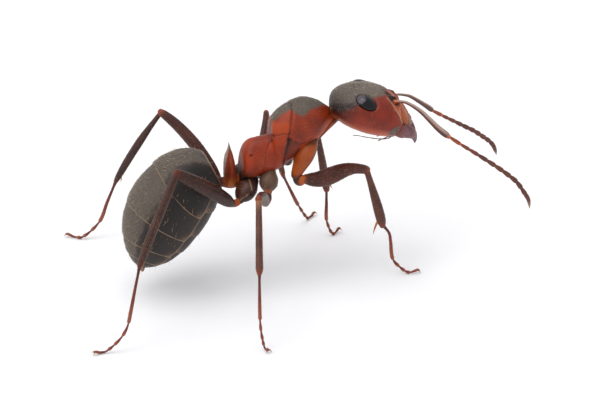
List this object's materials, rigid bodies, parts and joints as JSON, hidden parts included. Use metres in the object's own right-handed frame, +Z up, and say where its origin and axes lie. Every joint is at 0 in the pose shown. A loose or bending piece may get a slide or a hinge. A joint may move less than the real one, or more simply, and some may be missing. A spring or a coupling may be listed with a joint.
{
  "type": "red wood ant worker",
  "caption": "Life-size still model of a standing red wood ant worker: elbowed feelers raised, gaster hanging, each plate and leg segment a separate closed solid.",
  "frame": {"origin": "on the floor, under the middle of the standing ant's bounding box", "axes": "+X the way the ant faces, +Y its left side, +Z up"},
  "size_m": [0.012, 0.0078, 0.0051],
  "materials": {
    "red_cuticle": "smooth, satin, red-brown sclerite with fine short pubescence",
    "dusky_cuticle": "grey-brown, finely shagreened, dulled by dense short pale pubescence",
    "amber_cuticle": "smooth, satin, orange-brown",
    "leg_cuticle": "smooth, dark red-brown, sparse short hairs",
    "feeler_cuticle": "dull red-brown, dense very short pubescence",
    "eye_facets": "black, glossy, very finely faceted"
  },
  "bodies": {
    "root": {"clypeus": "amber_cuticle", "coxa_fore_left": "amber_cuticle", "coxa_fore_right": "amber_cuticle", "coxa_hind_left": "leg_cuticle", "coxa_hind_right": "leg_cuticle", "coxa_mid_left": "leg_cuticle", "coxa_mid_right": "leg_cuticle", "eye_left": "eye_facets", "eye_right": "eye_facets", "femur_fore_left": "leg_cuticle", "femur_fore_right": "leg_cuticle", "femur_hind_left": "leg_cuticle", "femur_hind_right": "leg_cuticle", "femur_mid_left": "leg_cuticle", "femur_mid_right": "leg_cuticle", "flagellum_lower_left": "feeler_cuticle", "flagellum_lower_right": "feeler_cuticle", "flagellum_upper_left": "feeler_cuticle", "flagellum_upper_right": "feeler_cuticle", "gaster_1": "dusky_cuticle", "gaster_2": "dusky_cuticle", "gaster_3": "dusky_cuticle", "gaster_4": "dusky_cuticle", "gaster_5": "dusky_cuticle", "head": "red_cuticle", "mandible_left": "leg_cuticle", "mandible_right": "leg_cuticle", "mesothorax": "red_cuticle", "petiole": "red_cuticle", "pronotum": "red_cuticle", "propleura": "amber_cuticle", "propodeum": "red_cuticle", "scape_left": "feeler_cuticle", "scape_right": "feeler_cuticle", "tarsus_fore_left": "leg_cuticle", "tarsus_fore_right": "leg_cuticle", "tarsus_hind_left": "leg_cuticle", "tarsus_hind_right": "leg_cuticle", "tarsus_mid_left": "leg_cuticle", "tarsus_mid_right": "leg_cuticle", "tibia_fore_left": "leg_cuticle", "tibia_fore_right": "leg_cuticle", "tibia_hind_left": "leg_cuticle", "tibia_hind_right": "leg_cuticle", "tibia_mid_left": "leg_cuticle", "tibia_mid_right": "leg_cuticle", "trochanter_fore_left": "leg_cuticle", "trochanter_fore_right": "leg_cuticle", "trochanter_hind_left": "leg_cuticle", "trochanter_hind_right": "leg_cuticle", "trochanter_mid_left": "leg_cuticle", "trochanter_mid_right": "leg_cuticle"}
  },
  "joints": []
}
